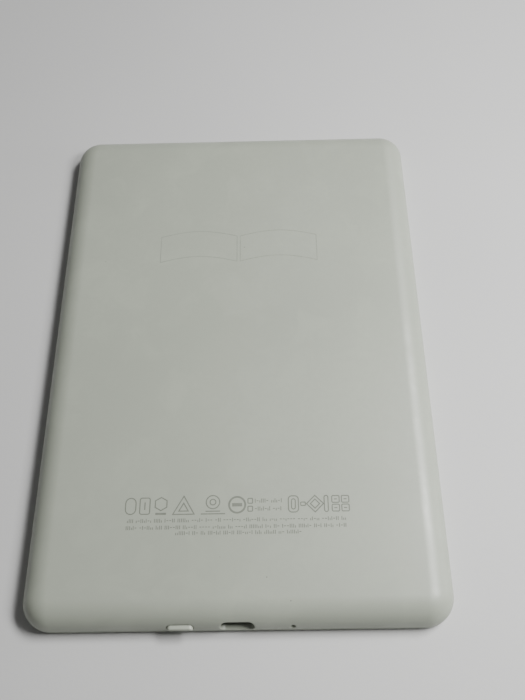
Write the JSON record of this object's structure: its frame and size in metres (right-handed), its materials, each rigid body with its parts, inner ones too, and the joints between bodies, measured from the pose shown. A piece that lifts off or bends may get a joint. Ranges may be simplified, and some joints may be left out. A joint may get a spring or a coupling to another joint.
{
  "type": "e-reader",
  "caption": "Slim touch-screen e-reader lying on its screen: moulded rear cover with curved sides, front bezel, e-paper display stack, battery, mainboard, charging port and press-in power button.",
  "frame": {"origin": "centre of the bezel's flat front face, which the e-reader lies on, at the bottom of its bounding box", "axes": "+Z out of the back, +Y towards the top edge of the screen, -Y towards the edge with the charging port and the power button, +X to the right for someone looking at the back with that edge nearest"},
  "size_m": [0.1086, 0.1581, 0.008],
  "materials": {
    "cover_plastic": "fine satin-matt moulded texture, pale sage green",
    "bezel_plastic": "matt moulded, pale sage green",
    "button_plastic": "satin moulded, pale sage green",
    "gasket_foam": "soft dark foam",
    "clear_film": "clear film with an anti-glare surface",
    "light_guide_plastic": "clear polished sheet",
    "epaper": "matt light grey, like paper",
    "backplane_glass": "smooth thin glass with a dark backing",
    "chip_plastic": "matt black moulding compound",
    "led_plastic": "pale translucent resin",
    "flex_circuit": "amber film with copper tracks",
    "frame_metal": "bead-blasted light alloy",
    "board_laminate": "dark green solder mask",
    "shield_steel": "plain stamped sheet steel",
    "connector_plastic": "ivory moulded",
    "black_connector_plastic": "black moulded",
    "light_pipe_plastic": "clear moulded, slightly frosted tip",
    "contact_metal": "gold-plated spring",
    "battery_pouch": "satin laminated foil",
    "adhesive_tape": "white double-sided tape",
    "red_insulation": "smooth wire insulation",
    "black_insulation": "smooth wire insulation",
    "screw_steel": "dark plated steel"
  },
  "bodies": {
    "body": {"rear_cover": "cover_plastic", "front_bezel": "bezel_plastic", "display_gasket": "gasket_foam", "cover_film": "clear_film", "touch_sensor": "clear_film", "light_guide": "light_guide_plastic", "epaper_film": "epaper", "display_backplane": "backplane_glass", "display_driver_chip": "chip_plastic", "frontlight_led_1": "led_plastic", "frontlight_led_2": "led_plastic", "frontlight_led_3": "led_plastic", "frontlight_led_4": "led_plastic", "frontlight_flex": "flex_circuit", "display_flex": "flex_circuit", "touch_flex": "flex_circuit", "mid_frame": "frame_metal", "mainboard": "board_laminate", "soc_shield": "shield_steel", "radio_shield": "shield_steel", "soc_chip": "chip_plastic", "memory_chip": "chip_plastic", "storage_chip": "chip_plastic", "power_chip": "chip_plastic", "radio_chip": "chip_plastic", "hall_sensor": "chip_plastic", "display_connector": "connector_plastic", "touch_connector": "connector_plastic", "frontlight_connector": "connector_plastic", "usb_c_shell": "shield_steel", "usb_c_tongue": "black_connector_plastic", "charge_led": "led_plastic", "led_light_pipe": "light_pipe_plastic", "wifi_antenna": "flex_circuit", "antenna_contact": "contact_metal", "battery_cell": "battery_pouch", "battery_protection_board": "board_laminate", "battery_tape_left": "adhesive_tape", "battery_tape_right": "adhesive_tape", "battery_foam": "gasket_foam", "battery_socket": "connector_plastic", "battery_plug": "black_connector_plastic", "battery_lead_red": "red_insulation", "battery_lead_black": "black_insulation", "switch_body": "black_connector_plastic", "switch_dome": "shield_steel", "frame_screw_1": "screw_steel", "frame_screw_2": "screw_steel", "frame_screw_3": "screw_steel", "frame_screw_4": "screw_steel", "frame_screw_5": "screw_steel", "frame_screw_6": "screw_steel", "frame_screw_7": "screw_steel", "frame_screw_8": "screw_steel", "board_screw_1": "screw_steel", "board_screw_2": "screw_steel", "board_screw_3": "screw_steel", "board_screw_4": "screw_steel"},
    "button": {"power_button": "button_plastic"},
    "plunger": {"switch_plunger": "connector_plastic"}
  },
  "joints": [
    {"name": "power_button_press", "type": "slide", "parent": "body", "child": "button", "axis": [0, 1, 0], "range_m": [0, 0.0003], "stiffness_N_per_m": 6000, "deforming": ["switch_dome"]},
    {"name": "switch_plunger_press", "type": "slide", "parent": "body", "child": "plunger", "axis": [0, 1, 0], "range_m": [0, 0.0003], "deforming": ["switch_dome"]}
  ],
  "couplings": [
    {"joint": "switch_plunger_press", "follows": "power_button_press", "ratio": 1}
  ]
}
